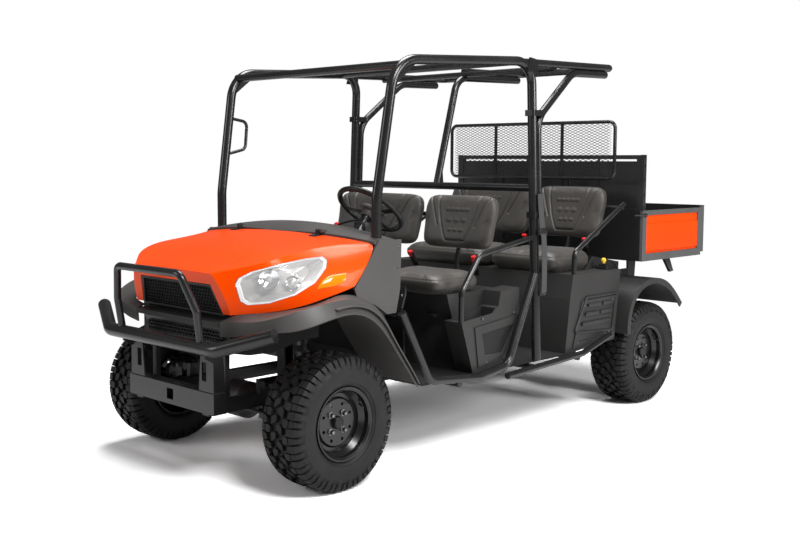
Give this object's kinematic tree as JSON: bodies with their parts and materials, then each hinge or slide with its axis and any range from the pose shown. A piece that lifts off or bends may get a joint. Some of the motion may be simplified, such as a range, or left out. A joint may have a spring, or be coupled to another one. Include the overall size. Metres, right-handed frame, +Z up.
{
  "type": "side by side utv",
  "caption": "Open crew utility vehicle with roll-over tubes, two bench seats, opening hood, steered front wheels and a tipping cargo bed with a drop tailgate.",
  "frame": {"origin": "ground level, on the centre plane, halfway along the overall length", "axes": "-Y forward, +X to the vehicle's left side, +Z up"},
  "size_m": [1.581, 3.9324, 2.078],
  "materials": {
    "frame_black": "satin",
    "tube_black": "satin",
    "engine_grey": "rough",
    "trim_grey": "matte",
    "floor_black": "matte",
    "seat_vinyl": "satin",
    "lamp_red": "gloss",
    "cast_steel": "rough",
    "wheel_rubber": "matte",
    "body_orange": "gloss",
    "grille_black": "matte",
    "lamp_clear": "clear",
    "bed_black": "satin",
    "rod_chrome": "polished",
    "tyre": "matte",
    "rim_black": "gloss"
  },
  "bodies": {
    "chassis": {"chassis_rails": "frame_black", "crossmembers": "frame_black", "engine_block": "engine_grey", "bumper_bar": "tube_black", "grille_guard": "tube_black", "bumper_mount": "frame_black", "front_fascia": "trim_grey", "front_fenders": "trim_grey", "side_panels": "trim_grey", "cowl": "trim_grey", "dashboard": "trim_grey", "steering_column": "frame_black", "pedals": "frame_black", "floor_pan": "floor_black", "front_seat_base": "floor_black", "rear_seat_base": "floor_black", "seat_cushions": "seat_vinyl", "seat_backrests": "seat_vinyl", "seat_back_frame": "frame_black", "side_tubes": "tube_black", "hand_rails": "tube_black", "roof_hoops": "tube_black", "roof_rear_hoop": "tube_black", "roof_crossbars": "tube_black", "rear_struts": "tube_black", "roof_brackets": "trim_grey", "rear_screen": "tube_black", "rear_fenders": "trim_grey", "front_arms": "frame_black", "front_shocks": "frame_black", "front_drive": "frame_black", "rear_axle": "frame_black", "leaf_springs": "frame_black", "tail_lamps": "lamp_red", "rear_hitch": "frame_black"},
    "knuckle_left": {"knuckle_left": "cast_steel"},
    "knuckle_right": {"knuckle_right": "cast_steel"},
    "tie_rods": {"tie_rods": "frame_black"},
    "steering_wheel": {"steering_wheel": "wheel_rubber"},
    "hood": {"hood": "body_orange", "grille": "grille_black", "headlamps": "lamp_clear"},
    "cargo_bed": {"bed_tub": "bed_black", "bed_side_panels": "body_orange", "headboard": "bed_black"},
    "tailgate": {"tailgate": "bed_black"},
    "lift_barrel": {"lift_barrel": "frame_black"},
    "lift_rod": {"lift_rod": "rod_chrome"},
    "wheel_front_left": {"tyre_front_left": "tyre", "rim_front_left": "rim_black"},
    "wheel_front_right": {"tyre_front_right": "tyre", "rim_front_right": "rim_black"},
    "wheel_rear_left": {"tyre_rear_left": "tyre", "rim_rear_left": "rim_black"},
    "wheel_rear_right": {"tyre_rear_right": "tyre", "rim_rear_right": "rim_black"}
  },
  "joints": [
    {"name": "steer_left", "type": "hinge", "parent": "chassis", "child": "knuckle_left", "pos_m": [0.555, -1.4, 0.3175], "axis": [0, 0, 1], "range_deg": [-32, 32]},
    {"name": "steer_right", "type": "hinge", "parent": "chassis", "child": "knuckle_right", "pos_m": [-0.555, -1.4, 0.3175], "axis": [0, 0, 1], "range_deg": [-32, 32]},
    {"name": "rack_slide", "type": "slide", "parent": "chassis", "child": "tie_rods", "axis": [1, 0, 0], "range_m": [-0.0513, 0.0513]},
    {"name": "steering_wheel_turn", "type": "hinge", "parent": "chassis", "child": "steering_wheel", "pos_m": [0.36, -0.852, 1.262], "axis": [0, 0.6225, 0.7826], "range_deg": [-385, 385]},
    {"name": "hood_hinge", "type": "hinge", "parent": "chassis", "child": "hood", "pos_m": [0, -1.158, 1.166], "axis": [-1, 0, 0], "range_deg": [0, 55]},
    {"name": "bed_tilt", "type": "hinge", "parent": "chassis", "child": "cargo_bed", "pos_m": [0, 1.73, 0.575], "axis": [-1, 0, 0], "range_deg": [0, 48]},
    {"name": "tailgate_hinge", "type": "hinge", "parent": "cargo_bed", "child": "tailgate", "pos_m": [0, 1.905, 0.905], "axis": [-1, 0, 0], "range_deg": [0, 90]},
    {"name": "lift_barrel_pivot", "type": "hinge", "parent": "chassis", "child": "lift_barrel", "pos_m": [0, 1, 0.565], "axis": [-1, 0, 0], "range_deg": [-1, 5.05]},
    {"name": "lift_rod_slide", "type": "slide", "parent": "lift_barrel", "child": "lift_rod", "axis": [0, 0.8448, 0.5351], "range_m": [-0.001, 0.3167]},
    {"name": "spin_front_left", "type": "hinge", "parent": "knuckle_left", "child": "wheel_front_left", "pos_m": [0.637, -1.4, 0.3175], "axis": [1, 0, 0], "continuous": true},
    {"name": "spin_front_right", "type": "hinge", "parent": "knuckle_right", "child": "wheel_front_right", "pos_m": [-0.637, -1.4, 0.3175], "axis": [1, 0, 0], "continuous": true},
    {"name": "spin_rear_left", "type": "hinge", "parent": "chassis", "child": "wheel_rear_left", "pos_m": [0.637, 1.229, 0.3175], "axis": [1, 0, 0], "continuous": true},
    {"name": "spin_rear_right", "type": "hinge", "parent": "chassis", "child": "wheel_rear_right", "pos_m": [-0.637, 1.229, 0.3175], "axis": [1, 0, 0], "continuous": true}
  ],
  "couplings": [
    {"joint": "steer_right", "follows": "steer_left", "ratio": 1},
    {"joint": "rack_slide", "follows": "steer_left", "m_per_rad": 0.09014},
    {"joint": "steering_wheel_turn", "follows": "steer_left", "ratio": 12},
    {"joint": "lift_barrel_pivot", "follows": "bed_tilt", "ratio": 0.08448},
    {"joint": "lift_rod_slide", "follows": "bed_tilt", "m_per_rad": 0.37683}
  ]
}
